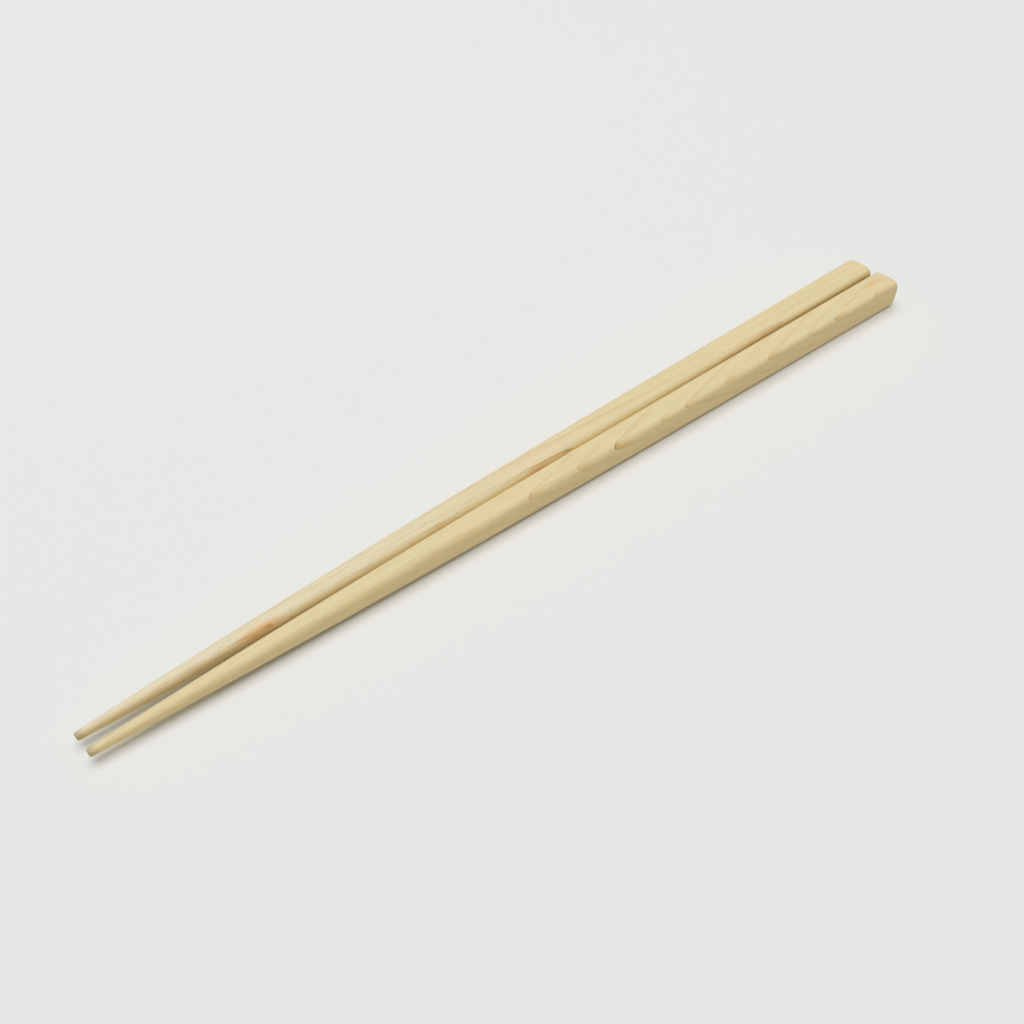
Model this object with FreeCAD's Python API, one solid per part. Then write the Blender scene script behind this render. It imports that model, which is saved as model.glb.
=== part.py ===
# A pair of square wooden cooking chopsticks, lying side by side with their tips together.
# Millimetres. Z is up and the sticks lie on Z = 0. The tips point to -X, and the front stick is on -Y.
import FreeCAD
import Part
import math
import os
from FreeCAD import Matrix, Vector

# Length of one stick, from the blunt tip to the top of the butt's dome.
LENGTH = 300.0
# The handle is the straight square part next to the butt. The rest is the curved, slimmer blade.
HANDLE_LENGTH = 120.0
# Widths across the flats. A stick is as high as it is wide all the way.
BUTT_WIDTH = 10.0
NECK_WIDTH = 8.9
TIP_WIDTH = 2.2
# Distance from the tip to the point where the blade's tangent at the tip meets the handle's line.
KNEE_DISTANCE = 59.0

# Rounding of the four long edges at the butt.
EDGE_RADIUS = 1.7
# Share of the half width that the rounding takes at the tip, which is all but round.
ROUND_SHARE = 0.96
# How the rounding eases from tip to butt: 1 is an even change, and more leaves the tip's roundness sooner.
ROUND_EASE = 1.5
# Softened rim of the blunt tip.
TIP_RIM_RADIUS = 0.5

# The butt is turned to a flattened oval dome, whose own rim is then softened.
DOME_HEIGHT = 2.45
DOME_RIM_RADIUS = 0.8
# The turned oval starts this far outside the rounded long edges.
DOME_MARGIN = 0.15

# Each stick is turned by this angle, in degrees, so that the pair closes towards the tips.
TOE_ANGLE = 0.51
# Gap between the sticks where they come closest.
SIDE_CLEARANCE = 0.05
# The back stick lies this much further towards the tips.
SLIP = 0.5

# Number of sections that carry the blade's curve, and of stations that are tried for the closest place.
BLADE_SECTIONS = 6
CONTACT_STATIONS = 90
# Angles, in degrees round a corner, of the points that its two arcs run through.
CORNER_ANGLES = (0, 22.5, 45, 67.5, 90)

BLADE_LENGTH = LENGTH - HANDLE_LENGTH
HANDLE_SLOPE = (BUTT_WIDTH - NECK_WIDTH) / HANDLE_LENGTH
ORIGIN = Vector(0, 0, 0)
X_AXIS = Vector(1, 0, 0)
Y_AXIS = Vector(0, 1, 0)
Z_AXIS = Vector(0, 0, 1)


def blade_station(t):
    """Distance from the tip and width there, on a parabola that runs tangent into the handle."""
    knee_width = NECK_WIDTH - HANDLE_SLOPE * (BLADE_LENGTH - KNEE_DISTANCE)
    start, middle, end = (1 - t) ** 2, 2 * t * (1 - t), t ** 2
    distance = middle * KNEE_DISTANCE + end * BLADE_LENGTH
    width = start * TIP_WIDTH + middle * knee_width + end * NECK_WIDTH
    return distance, width


def edge_radius(distance, width):
    """Rounding of the long edges at one place, as the section eases from a round tip to a square butt."""
    butt_share = EDGE_RADIUS / (BUTT_WIDTH / 2)
    share = butt_share + (ROUND_SHARE - butt_share) * (1 - distance / LENGTH) ** ROUND_EASE
    return share * width / 2


def section(distance, width):
    """Rounded square across the stick, centred on the X axis, with each corner drawn as two arcs."""
    radius = edge_radius(distance, width)
    flat = width / 2 - radius
    points = [Vector(distance, width / 2, -flat)]
    for angle in CORNER_ANGLES:
        reach = FreeCAD.Rotation(X_AXIS, angle).multVec(Vector(0, radius, 0))
        points.append(Vector(distance, flat, flat) + reach)
    edges = []
    for side in range(4):
        turn = FreeCAD.Rotation(X_AXIS, 90 * side)
        start, low, low_middle, crown, high_middle, high = [turn.multVec(point) for point in points]
        edges.append(Part.makeLine(start, low))
        edges.append(Part.Arc(low, low_middle, crown).toShape())
        edges.append(Part.Arc(crown, high_middle, high).toShape())
    return Part.Wire(edges)


def blade():
    """Slim half: rounded squares that shrink along the parabola, closed by the blunt tip."""
    steps = BLADE_SECTIONS - 1
    sections = [section(*blade_station(step / steps)) for step in range(BLADE_SECTIONS)]
    body = Part.makeLoft(sections, True, False)
    tip_rim = [edge for edge in body.Edges if edge.BoundBox.XMax < TIP_RIM_RADIUS]
    return body.makeFillet(TIP_RIM_RADIUS, tip_rim)


def is_flat(face):
    """True where a ruled face is bounded by straight edges alone."""
    chords = [edge.Vertexes[0].Point.distanceToPoint(edge.Vertexes[-1].Point) for edge in face.Edges]
    return all(math.isclose(edge.Length, chord) for edge, chord in zip(face.Edges, chords))


def handle():
    """Straight half: a bar that widens to the butt, with four true flats and rounded corners."""
    bar = Part.makeLoft([section(BLADE_LENGTH, NECK_WIDTH), section(LENGTH, BUTT_WIDTH)], True, True)
    faces = []
    for face in bar.Faces:
        if is_flat(face):
            corners = [vertex.Point for vertex in face.Vertexes[:3]]
            face = Part.Face(Part.Plane(*corners), face.OuterWire)
        faces.append(face)
    return Part.Solid(Part.Shell(faces))


def dome_envelope():
    """Turned body that the butt is trimmed to: a long cylinder that ends in a half oval."""
    corner_reach = BUTT_WIDTH / 2 * math.sqrt(2) - EDGE_RADIUS * (math.sqrt(2) - 1)
    radius = corner_reach + DOME_MARGIN
    shoulder = LENGTH - DOME_HEIGHT
    flatten = Matrix()
    flatten.scale(DOME_HEIGHT / radius, 1, 1)
    oval = Part.makeCircle(radius, ORIGIN, Z_AXIS, 0, 90).transformGeometry(flatten)
    oval.translate(Vector(shoulder, 0, 0))
    clear_of_tip = -BUTT_WIDTH
    apex, start = Vector(LENGTH, 0, 0), Vector(clear_of_tip, 0, 0)
    wall_start, wall_end = Vector(clear_of_tip, radius, 0), Vector(shoulder, radius, 0)
    straight = Part.makePolygon([apex, start, wall_start, wall_end])
    half_outline = Part.Face(Part.Wire(Part.__sortEdges__([oval] + straight.Edges)))
    return half_outline.revolve(ORIGIN, X_AXIS, 360)


def stick():
    """One whole chopstick along +X, with its axis on the X axis and its tip at the origin."""
    body = blade().fuse(handle()).common(dome_envelope()).Solids[0]
    shoulder = LENGTH - DOME_HEIGHT
    at_butt = [edge for edge in body.Edges if edge.BoundBox.XMin > shoulder]
    rim = [edge for edge in at_butt if len(body.ancestorsOfType(edge, Part.Face)) == 2]
    return body.makeFillet(DOME_RIM_RADIUS, rim).Solids[0]


def half_spacing(toe):
    """Distance from the middle plane to a stick's axis at the tip, so that the sides just clear it."""
    stations = [blade_station(step / CONTACT_STATIONS) for step in range(CONTACT_STATIONS + 1)]
    stations.append((LENGTH, BUTT_WIDTH))
    reach = max(width / 2 * math.cos(toe) - distance * math.sin(toe) for distance, width in stations)
    return reach + SIDE_CLEARANCE / 2


def laid(body, side, slip):
    """Rests the handle's underside on the table and turns the stick in at the tip; side is +1 at the back."""
    tilt = math.degrees(math.atan(HANDLE_SLOPE / 2))
    placed = body.copy()
    placed.translate(Vector(-BLADE_LENGTH, 0, NECK_WIDTH / 2))
    placed.rotate(ORIGIN, Y_AXIS, -tilt)
    placed.translate(Vector(BLADE_LENGTH - slip, 0, 0))
    placed.rotate(ORIGIN, Z_AXIS, side * TOE_ANGLE)
    placed.translate(Vector(0, side * half_spacing(math.radians(TOE_ANGLE)), 0))
    return placed


def pair():
    """Both sticks by name, centred over the origin."""
    body = stick()
    sticks = {"front_chopstick": laid(body, -1, 0), "back_chopstick": laid(body, 1, SLIP)}
    box = Part.Compound(list(sticks.values())).optimalBoundingBox(False)
    for placed in sticks.values():
        placed.translate(Vector(-box.Center.x, -box.Center.y, 0))
    return sticks


if __name__ == "__main__":
    os.makedirs("parts", exist_ok=True)
    for name, shape in pair().items():
        shape.exportStep("parts/" + name + ".step")
        print(name, "volume", round(shape.Volume, 1), "valid", shape.isValid())
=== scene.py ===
# A pair of square maple cooking chopsticks lying on a pale table, with their looks built round the frame.
# Metres. The tips point to -X, the front stick is on -Y, and both lie on Z = 0.
import math
import bpy
from mathutils import Matrix, Vector


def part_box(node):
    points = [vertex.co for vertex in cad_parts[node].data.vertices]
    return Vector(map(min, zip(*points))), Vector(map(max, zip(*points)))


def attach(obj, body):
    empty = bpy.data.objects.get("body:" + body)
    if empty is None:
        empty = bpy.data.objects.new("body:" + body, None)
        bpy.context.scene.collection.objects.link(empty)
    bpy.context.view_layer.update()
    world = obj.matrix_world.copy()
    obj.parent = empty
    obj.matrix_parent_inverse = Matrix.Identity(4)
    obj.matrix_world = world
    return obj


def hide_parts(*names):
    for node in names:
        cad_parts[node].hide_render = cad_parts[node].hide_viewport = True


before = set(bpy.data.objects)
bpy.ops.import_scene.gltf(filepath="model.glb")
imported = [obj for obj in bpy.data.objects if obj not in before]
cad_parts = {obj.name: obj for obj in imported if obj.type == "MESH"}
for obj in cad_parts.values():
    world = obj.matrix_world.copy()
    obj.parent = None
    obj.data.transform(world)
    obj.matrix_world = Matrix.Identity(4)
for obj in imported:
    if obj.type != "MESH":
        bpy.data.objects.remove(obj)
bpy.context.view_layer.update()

MM = 0.001

# One stick, in millimetres: it is square and as high as it is wide all the way.
LENGTH = 300.0
HANDLE_LENGTH = 120.0
BUTT_WIDTH = 10.0
NECK_WIDTH = 8.9
TIP_WIDTH = 2.2
# Distance from the tip to the point where the blade's tangent at the tip meets the handle's line.
KNEE_DISTANCE = 59.0
# The rounding of the long edges: its radius at the butt, and its share of the half width at the tip. An
# ease over 1 leaves the tip's roundness sooner.
EDGE_RADIUS = 1.7
ROUND_SHARE = 0.96
ROUND_EASE = 1.5
TIP_RIM_RADIUS = 0.5
# The butt's turned oval starts a small margin outside the rounded long edges.
DOME_HEIGHT = 2.45
DOME_RIM_RADIUS = 0.8
DOME_MARGIN = 0.15
# Each stick is turned by this angle, so that the pair closes towards the tips.
TOE_ANGLE = math.radians(0.51)

BLADE_LENGTH = LENGTH - HANDLE_LENGTH
HANDLE_SLOPE = (BUTT_WIDTH - NECK_WIDTH) / HANDLE_LENGTH
SHOULDER = LENGTH - DOME_HEIGHT
DOME_REACH = BUTT_WIDTH / 2 * math.sqrt(2) - EDGE_RADIUS * (math.sqrt(2) - 1) + DOME_MARGIN

# How finely the sticks are meshed. A crowding over 1 sets the stations closer together towards the tip.
CORNER_STEPS = 8
FLAT_STEPS = 6
LONG_STEPS = 170
TIPWARD_CROWDING = 1.3
RIM_STEPS = 6
DOME_STEPS = 9
TIP_FACE_STEPS = 3
# How often the search for the place where the butt's rim meets its dome halves its range.
TOUCH_HALVINGS = 40

# The camera, in millimetres of the part's frame: what it looks at, and from where.
LOOK_AT = Vector((-22.92, -2.88, 0.0))
CAMERA_AZIMUTH = math.radians(-39.63)
CAMERA_ELEVATION = math.radians(45.87)
CAMERA_DISTANCE = 288.9
NEAR_CLIP = 10.0
# The focal length, in pixels of a square picture, and the width of the sensor in millimetres.
FOCAL_PIXELS = 999.0
PICTURE_PIXELS = 1024.0
SENSOR_WIDTH = 36.0

# The studio, in metres and watts: slightly warm light from all round, and a wide, slightly cool soft box.
TABLE_REACH = 3.0
ROOM_LIGHT = (1.0, 0.97, 0.9, 1.0)
ROOM_STRENGTH = 0.35
BOX_LIGHT = (0.94, 0.965, 1.0)
BOX_POWER = 104.0
BOX_WIDTH = 3.4
BOX_DISTANCE = 3.6
BOX_AZIMUTH = math.radians(180)
BOX_ELEVATION = math.radians(85)

# Sizes of the patterns in the wood, in millimetres: how long they run with the grain, how thick they are
# across it, and how many finer layers each has. The fibres of maple are about 0.02 mm thick, which is
# too fine to show from here, so they are drawn as bundles ten times that.
WOOD_PATTERNS = {
    "tone": (70.0, 7.0, 2.0),
    "sway": (26.0, 5.0, 1.0),
    "ripple": (6.0, 1.3, 1.0),
    "patchiness": (9.0, 2.5, 1.0),
    "fibre": (16.0, 0.24, 2.0),
    "fleck": (1.8, 0.32, 1.0),
}
# How far, in millimetres, the sway and the ripple push the rings about.
RING_WANDER = {"sway": 1.1, "ripple": 0.4}
# How the rings' lines come and go: the values of a measure, and the shares of their strength that these
# give. One measure is the patchiness. The other is 1 where a face is cut along the rings.
PATCHY = {"From Min": 0.38, "From Max": 0.62, "To Min": 0.35}
LAID_OPEN = {"From Min": 0.8, "From Max": 1.0, "To Min": 0.5, "To Max": 1.3}
# Within about this distance of "bow_place", in millimetres, the rings turn gently and not at a corner.
BOW_EASE = 4.0
# How far a rusty patch reaches from its middle, in millimetres: along the stick, across it and up.
STAIN_REACH = (9.0, 2.0, 2.0)

# How each stick was cut from its plank. The depth of a place in the trunk grows towards the stick's front
# and top, and "turn" is the angle from straight to the front. "run_out" is the depth that a millimetre
# along the stick adds, and "bow" adds to it with the distance from "bow_place", either way. "rings" are
# the depths, in millimetres, at which a year's growth ends in a thin brown line, each with how strongly
# it shows, and the last one only ends the wood. "stain" is the middle of a rusty patch, "pale_tip" is how
# much the wood pales towards the tip, and "seed" picks the patterns.
FRONT_GRAIN = {
    "turn": math.radians(50), "run_out": 0.055, "bow": 0.095, "bow_place": 106.0, "seed": 3.1,
    "rings": ((-2.0, 0.15), (3.0, 0.15), (6.8, 0.15), (10.1, 0.2), (14.05, 0.6), (16.95, 0.45),
              (19.35, 1.0), (22.4, 0.3), (24.15, 0.8), (26.85, 0.6), (30.15, 0.6), (33.25, 0.6),
              (35.6, 0.5), (38.85, 0.4), (43.5, 0.0)),
    "stain": (291.0, 0.5, 4.0), "pale_tip": 0.05,
}
BACK_GRAIN = {
    "turn": math.radians(35), "run_out": -0.045, "bow": 0.0, "bow_place": 150.0, "seed": 7.7,
    "rings": ((-22.5, 0.25), (-18.5, 0.25), (-14.6, 0.25), (-11.2, 0.25), (-8.4, 0.3), (-5.4, 0.6),
              (-1.6, 0.75), (-0.57, 0.3), (0.76, 0.4), (3.5, 0.0)),
    "stain": (48.0, -2.0, 2.0), "pale_tip": 0.75,
}


def linear(hex_colour):
    """An sRGB hex colour as the linear red, green, blue and alpha that a node takes."""
    channels = [int(hex_colour[place:place + 2], 16) / 255 for place in (1, 3, 5)]
    curve = [c / 12.92 if c <= 0.04045 else ((c + 0.055) / 1.055) ** 2.4 for c in channels]
    return (*curve, 1.0)


def add_node(tree, kind, inputs=None, **settings):
    """Adds one shader node with its settings, and fills each input with a value or with a link."""
    node = tree.nodes.new("ShaderNode" + kind)
    for name, value in settings.items():
        setattr(node, name, value)
    for name, value in (inputs or {}).items():
        if isinstance(value, bpy.types.NodeSocket):
            tree.links.new(value, node.inputs[name])
        else:
            node.inputs[name].default_value = value
    return node


def empty_tree(owner):
    """The node tree of a new material or world, without the nodes that it comes with."""
    owner.use_nodes = True
    owner.node_tree.nodes.clear()
    return owner.node_tree


def add_object(name, data):
    """Puts a mesh, a lamp or a camera into the scene."""
    added = bpy.data.objects.new(name, data)
    bpy.context.scene.collection.objects.link(added)
    return added


def width_at(distance):
    """Width across the flats: a parabola along the blade that runs tangent into the straight handle."""
    if distance >= BLADE_LENGTH:
        return NECK_WIDTH + HANDLE_SLOPE * (distance - BLADE_LENGTH)
    knee_width = NECK_WIDTH - HANDLE_SLOPE * (BLADE_LENGTH - KNEE_DISTANCE)
    bend = BLADE_LENGTH - 2 * KNEE_DISTANCE
    t = (math.sqrt(KNEE_DISTANCE ** 2 + bend * distance) - KNEE_DISTANCE) / bend
    return (1 - t) ** 2 * TIP_WIDTH + 2 * t * (1 - t) * knee_width + t ** 2 * NECK_WIDTH


def rounding_at(distance, width):
    """Radius of the long edges: the section eases from all but round at the tip to a soft-edged square."""
    butt_share = EDGE_RADIUS / (BUTT_WIDTH / 2)
    share = butt_share + (ROUND_SHARE - butt_share) * (1 - distance / LENGTH) ** ROUND_EASE
    return share * width / 2


def rounded_square(half, radius):
    """Points across the stick, as (y, z), counter-clockwise seen from the butt."""
    points = []
    flat = half - radius
    for side in range(4):
        turn = Matrix.Rotation(math.pi / 2 * side, 2)
        for step in range(FLAT_STEPS):
            points.append(turn @ Vector((half, -flat + 2 * flat * step / FLAT_STEPS)))
        for step in range(CORNER_STEPS):
            angle = math.pi / 2 * step / CORNER_STEPS
            corner = Vector((flat + radius * math.cos(angle), flat + radius * math.sin(angle)))
            points.append(turn @ corner)
    return points


def tip_rings():
    """The blunt tip: its flat end face, then its softened rim."""
    half = TIP_WIDTH / 2
    radius = rounding_at(0, TIP_WIDTH)
    rings = []
    for step in range(1, TIP_FACE_STEPS):
        share = step / TIP_FACE_STEPS
        face_half = (half - TIP_RIM_RADIUS) * share
        rings.append([(0.0, y, z) for y, z in rounded_square(face_half, ROUND_SHARE * face_half)])
    for step in range(RIM_STEPS):
        angle = math.pi / 2 * step / RIM_STEPS
        inset = TIP_RIM_RADIUS * (1 - math.sin(angle))
        distance = TIP_RIM_RADIUS * (1 - math.cos(angle))
        rings.append([(distance, y, z) for y, z in rounded_square(half - inset, radius - inset)])
    return rings


def long_rings():
    """The long part, from the tip's rim to the butt's."""
    end = SHOULDER - DOME_RIM_RADIUS
    rings = []
    for step in range(LONG_STEPS + 1):
        share = step / LONG_STEPS
        distance = TIP_RIM_RADIUS + (end - TIP_RIM_RADIUS) * share ** TIPWARD_CROWDING
        width = width_at(distance)
        outline = rounded_square(width / 2, rounding_at(distance, width))
        rings.append([(distance, y, z) for y, z in outline])
    return rings


def dome(reach):
    """Distance and slope of the butt's flattened oval at a given reach from the axis."""
    height = DOME_HEIGHT * math.sqrt(1 - (reach / DOME_REACH) ** 2)
    slope = -DOME_HEIGHT ** 2 * reach / (DOME_REACH ** 2 * height)
    return SHOULDER + height, slope


def rim_touch(reach):
    """Reach at which a rim of the given radius, laid against the side, touches the dome."""
    low, high = reach - DOME_RIM_RADIUS, reach
    for _ in range(TOUCH_HALVINGS):
        middle = (low + high) / 2
        slope = dome(middle)[1]
        if middle + DOME_RIM_RADIUS * slope / math.hypot(1, slope) < reach - DOME_RIM_RADIUS:
            low = middle
        else:
            high = middle
    return high


def butt_rings():
    """The butt: its softened rim, then the turned oval dome up to its apex."""
    width = width_at(SHOULDER)
    outline = rounded_square(width / 2, rounding_at(SHOULDER, width))
    columns = []
    for y, z in outline:
        reach = math.hypot(y, z)
        touch = rim_touch(reach)
        top, slope = dome(touch)
        lean = math.hypot(1, slope)
        centre = (reach - DOME_RIM_RADIUS, top - DOME_RIM_RADIUS / lean)
        end_angle = math.atan2(1, -slope)
        column = []
        for step in range(RIM_STEPS + 1):
            angle = end_angle * step / RIM_STEPS
            out = centre[0] + DOME_RIM_RADIUS * math.cos(angle)
            column.append((centre[1] + DOME_RIM_RADIUS * math.sin(angle), out / reach))
        for step in range(1, DOME_STEPS):
            out = touch * (1 - step / DOME_STEPS)
            column.append((dome(out)[0], out / reach))
        columns.append([(distance, y * share, z * share) for distance, share in column])
    return [list(ring) for ring in zip(*columns)]


def stick_mesh(name):
    """One whole chopstick as a closed mesh, with its axis on X and its tip face at the origin."""
    rings = tip_rings() + long_rings() + butt_rings()
    count = len(rings[0])
    points = [(0.0, 0.0, 0.0)] + [point for ring in rings for point in ring] + [(LENGTH, 0.0, 0.0)]
    faces = []
    for place in range(count):
        beside = (place + 1) % count
        faces.append((0, 1 + beside, 1 + place))
        for row in range(len(rings) - 1):
            near = 1 + row * count
            far = near + count
            faces.append((near + place, near + beside, far + beside, far + place))
        last = 1 + (len(rings) - 1) * count
        faces.append((last + place, last + beside, len(points) - 1))
    mesh = bpy.data.meshes.new(name)
    mesh.from_pydata([Vector(point) * MM for point in points], [], faces)
    mesh.shade_smooth()
    return mesh


def lie_of(mesh, node, side):
    """Matrix that lays a stick on its handle's underside, turned in at the tip, where its node lies."""
    tilt = math.atan(HANDLE_SLOPE / 2)
    lie = Matrix.Translation(Vector((-BLADE_LENGTH, 0, NECK_WIDTH / 2)) * MM)
    lie = Matrix.Rotation(-tilt, 4, "Y") @ lie
    lie = Matrix.Translation(Vector((BLADE_LENGTH, 0, 0)) * MM) @ lie
    lie = Matrix.Rotation(side * TOE_ANGLE, 4, "Z") @ lie
    corners = [lie @ vertex.co for vertex in mesh.vertices]
    lowest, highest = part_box(node)
    shift = Vector((0.0, 0.0, 0.0))
    for axis in (0, 1):
        own = [corner[axis] for corner in corners]
        shift[axis] = (lowest[axis] + highest[axis] - min(own) - max(own)) / 2
    return Matrix.Translation(shift) @ lie


def laid_stick(name, node, side, grain):
    """One chopstick in place of its node, in maple whose grain runs along the stick itself."""
    mesh = stick_mesh(name)
    lie = lie_of(mesh, node, side)
    mesh.transform(lie)
    mesh.materials.append(maple(name + "_maple", lie, grain))
    stick = add_object(name, mesh)
    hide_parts(node)
    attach(stick, "root")


def wood_patterns(tree, place, seed):
    """Soft noise for each of the wood's patterns, stretched along the stick."""
    patterns = {}
    for kind, (length, thickness, layers) in WOOD_PATTERNS.items():
        scale = (1 / length, 1 / thickness, 1 / thickness)
        scaled = add_node(tree, "VectorMath", {0: place, 1: scale}, operation="MULTIPLY").outputs[0]
        noise = {"Vector": scaled, "W": seed, "Scale": 1.0, "Detail": layers}
        patterns[kind] = add_node(tree, "TexNoise", noise, noise_dimensions="4D").outputs[0]
    return patterns


def growth_direction(grain):
    """Unit vector along which the depth in the trunk grows across the stick, in the stick's own axes."""
    return Vector((0.0, -math.cos(grain["turn"]), math.sin(grain["turn"])))


def trunk_depth(tree, place, along, patterns, grain):
    """Depth of a place in the trunk, in millimetres, where the rings bow, sway and ripple."""
    growth = {0: place, 1: growth_direction(grain) + Vector((grain["run_out"], 0.0, 0.0))}
    depth = add_node(tree, "VectorMath", growth, operation="DOT_PRODUCT").outputs["Value"]
    for kind, amount in RING_WANDER.items():
        push = {0: patterns[kind], 1: amount, 2: depth}
        depth = add_node(tree, "Math", push, operation="MULTIPLY_ADD").outputs[0]
    past = {0: along, 1: grain["bow_place"]}
    past = add_node(tree, "Math", past, operation="SUBTRACT").outputs[0]
    eased = {0: past, 1: past, 2: BOW_EASE ** 2}
    eased = add_node(tree, "Math", eased, operation="MULTIPLY_ADD").outputs[0]
    away = add_node(tree, "Math", {0: eased}, operation="SQRT").outputs[0]
    bowed = {0: away, 1: grain["bow"], 2: depth}
    return add_node(tree, "Math", bowed, operation="MULTIPLY_ADD").outputs[0]


def ring_number(tree, depth, grain):
    """Which year's ring a depth lies in, with the share of that year's growth that comes before it."""
    edges = [edge for edge, strength in grain["rings"]]
    years, span = len(edges) - 1, edges[-1] - edges[0]
    # The sway and the ripple are a half on average, so they push the rings this far on the whole.
    mean_push = sum(RING_WANDER.values()) / 2
    limits = {"Value": depth, "From Min": edges[0] + mean_push, "From Max": edges[-1] + mean_push}
    share = add_node(tree, "MapRange", limits).outputs[0]
    calendar = add_node(tree, "FloatCurve", {"Value": share})
    curve = calendar.mapping.curves[0]
    for year, edge in enumerate(edges[1:-1], 1):
        curve.points.new((edge - edges[0]) / span, year / years)
    for point in curve.points:
        point.handle_type = "VECTOR"
    calendar.mapping.update()
    number = {0: calendar.outputs[0], 1: float(years)}
    return add_node(tree, "Math", number, operation="MULTIPLY").outputs[0]


def ring_strength(tree, number, grain):
    """How strongly the line that starts a place's year shows."""
    strengths = [strength for edge, strength in grain["rings"]]
    years = len(strengths) - 1
    year = add_node(tree, "Math", {0: number}, operation="FLOOR").outputs[0]
    middle = {0: year, 1: 1 / years, 2: 0.5 / years}
    middle = add_node(tree, "Math", middle, operation="MULTIPLY_ADD").outputs[0]
    ramp = add_node(tree, "ValToRGB", {"Fac": middle})
    ramp.color_ramp.interpolation = "CONSTANT"
    steps = ramp.color_ramp.elements
    steps.remove(steps[-1])
    for place, strength in enumerate(strengths[:-1]):
        step = steps.new(place / years) if place else steps[0]
        step.color = (strength, strength, strength, 1.0)
    return ramp.outputs[0]


def ring_vigour(tree, number, patchiness, cut_flat, grain):
    """How plainly a ring shows: by its own strength, in patches, and more where a cut lays it open."""
    vigour = ring_strength(tree, number, grain)
    for measure, limits in ((patchiness, PATCHY), (cut_flat, LAID_OPEN)):
        share = add_node(tree, "MapRange", {"Value": measure, **limits}).outputs[0]
        vigour = add_node(tree, "Math", {0: vigour, 1: share}, operation="MULTIPLY").outputs[0]
    return vigour


def cuts(tree, normal, lie, grain):
    """How far a face is cut across the length, down a side and along the rings, each from 0 to 1."""
    axes = lie.to_3x3()
    measures = []
    for across in (axes.col[0], axes.col[1], axes @ growth_direction(grain)):
        facing = {0: normal, 1: across}
        facing = add_node(tree, "VectorMath", facing, operation="DOT_PRODUCT").outputs["Value"]
        measures.append(add_node(tree, "Math", {0: facing}, operation="ABSOLUTE").outputs[0])
    return measures


def out_of_stain(tree, place, grain):
    """How far a place is from the middle of the rusty patch, as a share of the patch's reach."""
    away = {0: place, 1: grain["stain"]}
    away = add_node(tree, "VectorMath", away, operation="SUBTRACT").outputs[0]
    away = add_node(tree, "VectorMath", {0: away, 1: STAIN_REACH}, operation="DIVIDE").outputs[0]
    return add_node(tree, "VectorMath", {0: away}, operation="LENGTH").outputs["Value"]


def maple(name, lie, grain):
    """
    Bare maple, planed and sanded but neither oiled nor varnished.

    It is a pale warm cream with a dull satin face. Its sides are painted a little darker and more golden,
    standing in for the warm shade that falls on them. Each year's growth ends in a thin brown line that is
    sharp on one side and fades to orange on the other. The sticks are cut at a slant to the rings, so the
    lines run over the edges as long arches, plainest where a face is cut along the rings. Fine fibres and
    short flecks follow the length. Cut ends are darker, because light is lost in their open pores. The
    tips also darken over their last three millimetres.
    """
    material = bpy.data.materials.new(name)
    tree = empty_tree(material)
    coordinates = add_node(tree, "TexCoord")
    own = {"Vector": coordinates.outputs["Object"], "Location": lie.to_translation(),
           "Rotation": lie.to_euler(), "Scale": (MM, MM, MM)}
    place = add_node(tree, "Mapping", own, vector_type="TEXTURE").outputs[0]
    along = add_node(tree, "SeparateXYZ", {0: place}).outputs[0]
    patterns = wood_patterns(tree, place, grain["seed"])
    depth = trunk_depth(tree, place, along, patterns, grain)
    number = ring_number(tree, depth, grain)
    into_year = add_node(tree, "Math", {0: number}, operation="FRACT").outputs[0]
    cut_end, painted_shade_sides, cut_flat = cuts(tree, coordinates.outputs["Normal"], lie, grain)
    vigour = ring_vigour(tree, number, patterns["patchiness"], cut_flat, grain)

    # Each layer's measure, the values of it at which the layer starts and is full, its strength there and
    # its colour. Lengths along the stick are in millimetres from the tip.
    layers = (
        (patterns["tone"], 0.36, 0.66, 0.5, "#ECD3A8"),
        (along, 190.0, 20.0, grain["pale_tip"], "#E9E0C2"),
        # Painted shade: faces that point sideways are tinted darker and more golden, as they look in
        # shade.
        (painted_shade_sides, 0.4, 0.95, 0.5, "#E8CD8C"),
        (patterns["fibre"], 0.42, 0.75, 0.25, "#BC9E6A"),
        (patterns["fleck"], 0.6, 0.74, 0.22, "#B98F5E"),
        (out_of_stain(tree, place, grain), 1.0, 0.2, 0.6, "#E3A649"),
        (into_year, 0.42, 0.0, 0.75, "#CF9B54"),
        (into_year, 0.06, 0.0, 0.65, "#8F6A3C"),
        (cut_end, 0.6, 0.95, 0.55, "#A38B6A"),
        (along, 3.0, 0.0, 0.5, "#8F7B60"),
    )
    colour = linear("#E5D6A6")
    for measure, start, full, strength, tint in layers:
        limits = {"Value": measure, "From Min": start, "From Max": full, "To Max": strength}
        share = add_node(tree, "MapRange", limits, interpolation_type="SMOOTHSTEP").outputs[0]
        if measure == into_year:
            share = add_node(tree, "Math", {0: share, 1: vigour}, operation="MULTIPLY").outputs[0]
        mixed = {0: share, 6: colour, 7: linear(tint)}
        colour = add_node(tree, "Mix", mixed, data_type="RGBA").outputs[2]

    # The fibres make the face a little duller and rougher where they stand up, by a hundredth of a
    # millimetre. Light goes up to 0.8 mm into the wood and comes back out warmer.
    satin = {"Value": patterns["fibre"], "To Min": 0.5, "To Max": 0.68}
    relief = {"Height": patterns["fibre"], "Distance": 0.012 * MM, "Strength": 1.0}
    surface = {"Base Color": colour, "IOR": 1.5, "Subsurface Weight": 0.15,
               "Subsurface Radius": (1.0, 0.55, 0.3), "Subsurface Scale": 0.8 * MM,
               "Roughness": add_node(tree, "MapRange", satin).outputs[0],
               "Normal": add_node(tree, "Bump", relief).outputs[0]}
    wood = add_node(tree, "BsdfPrincipled", surface)
    add_node(tree, "OutputMaterial", {"Surface": wood.outputs[0]})
    return material


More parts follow.
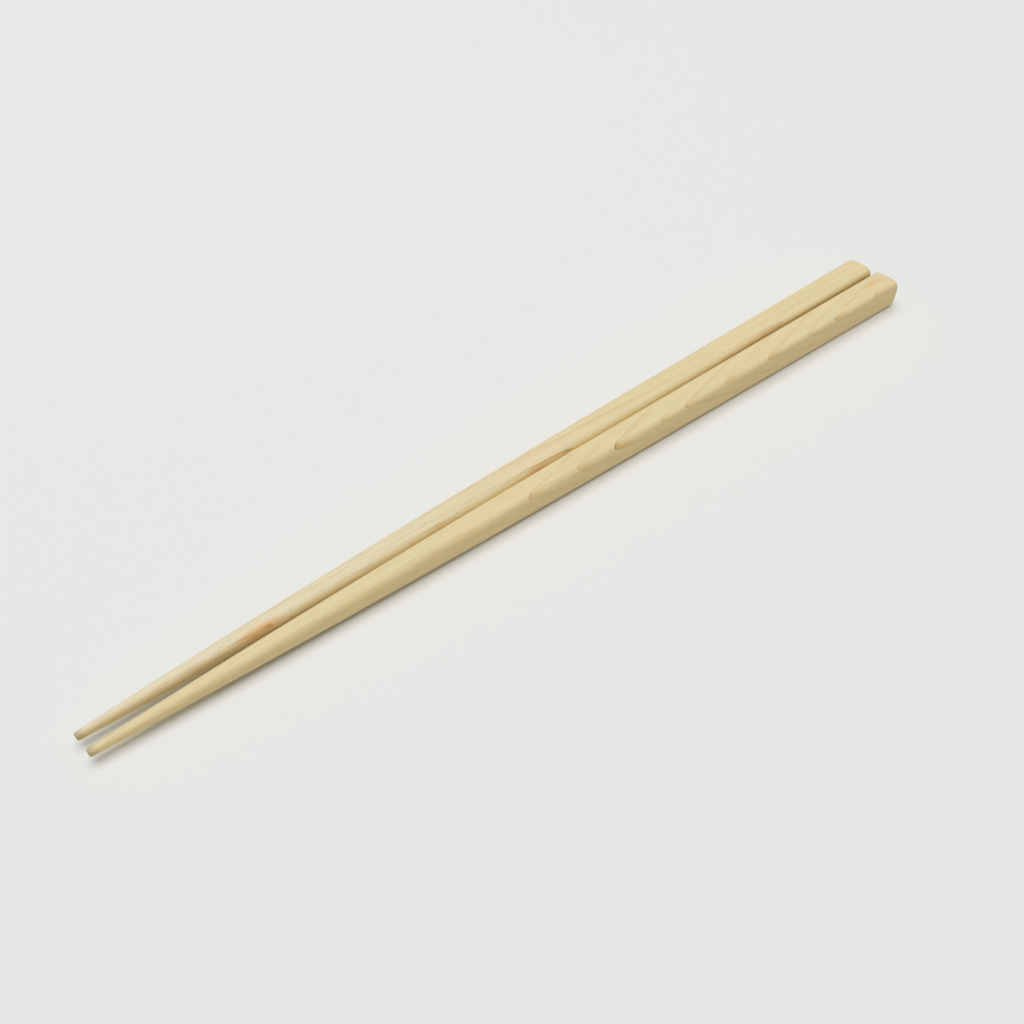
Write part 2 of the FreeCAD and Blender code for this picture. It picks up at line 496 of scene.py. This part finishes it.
def matt_paint():
    """Matt wall paint, rolled on: an even pale grey with almost no gloss, so it shows only the shadow."""
    material = bpy.data.materials.new("matt_paint")
    tree = empty_tree(material)
    surface = {"Base Color": linear("#EDEDEB"), "Roughness": 0.9, "IOR": 1.4}
    paint = add_node(tree, "BsdfPrincipled", surface)
    add_node(tree, "OutputMaterial", {"Surface": paint.outputs[0]})
    return material


def table_top():
    """Plain pale board under the sticks, with nothing on it."""
    low, high = -TABLE_REACH, TABLE_REACH
    mesh = bpy.data.meshes.new("table_top")
    mesh.from_pydata([(low, low, 0), (high, low, 0), (high, high, 0), (low, high, 0)], [], [(0, 1, 2, 3)])
    mesh.materials.append(matt_paint())
    add_object("table_top", mesh)


def direction(azimuth, elevation):
    """Unit vector from the pair towards a lamp or the camera; azimuth 0 is straight in front, on -Y."""
    flat = math.cos(elevation)
    return Vector((math.sin(azimuth) * flat, -math.cos(azimuth) * flat, math.sin(elevation)))


def overhead_box():
    """One wide, square soft box almost straight above, which looks at the middle of the pair."""
    lamp = bpy.data.lights.new("overhead_box", "AREA")
    lamp.size = BOX_WIDTH
    lamp.energy = BOX_POWER
    lamp.color = BOX_LIGHT
    holder = add_object("overhead_box", lamp)
    back = direction(BOX_AZIMUTH, BOX_ELEVATION)
    holder.location = back * BOX_DISTANCE
    holder.rotation_euler = back.to_track_quat("Z", "Y").to_euler()


def pale_room():
    """Light from all round. What is seen of the room, straight or in a reflection, is a pale wall."""
    world = bpy.data.worlds.new("pale_room")
    tree = empty_tree(world)
    rays = add_node(tree, "LightPath").outputs
    seen = {0: rays["Is Camera Ray"], 1: rays["Is Glossy Ray"]}
    seen = add_node(tree, "Math", seen, operation="MAXIMUM").outputs[0]
    seen = {0: seen, 1: rays["Is Transmission Ray"]}
    seen = add_node(tree, "Math", seen, operation="MAXIMUM").outputs[0]
    light = add_node(tree, "Background", {"Color": ROOM_LIGHT, "Strength": ROOM_STRENGTH}).outputs[0]
    wall = add_node(tree, "Background", {"Color": linear("#E0E0DD"), "Strength": 1.0}).outputs[0]
    room = add_node(tree, "MixShader", {0: seen, 1: light, 2: wall}).outputs[0]
    add_node(tree, "OutputWorld", {"Surface": room})
    bpy.context.scene.world = world


def camera():
    """Looks down along the pair from beyond the tips, on the front stick's side."""
    lens = bpy.data.cameras.new("camera")
    lens.sensor_width = SENSOR_WIDTH
    lens.lens = SENSOR_WIDTH * FOCAL_PIXELS / PICTURE_PIXELS
    lens.clip_start = NEAR_CLIP * MM
    holder = add_object("camera", lens)
    back = direction(CAMERA_AZIMUTH, CAMERA_ELEVATION)
    holder.location = (LOOK_AT + back * CAMERA_DISTANCE) * MM
    holder.rotation_euler = back.to_track_quat("Z", "Y").to_euler()
    bpy.context.scene.camera = holder


laid_stick("front_stick", "front_chopstick", -1, FRONT_GRAIN)
laid_stick("back_stick", "back_chopstick", 1, BACK_GRAIN)
table_top()
pale_room()
overhead_box()
camera()
bpy.context.scene.view_settings.view_transform = "Standard"
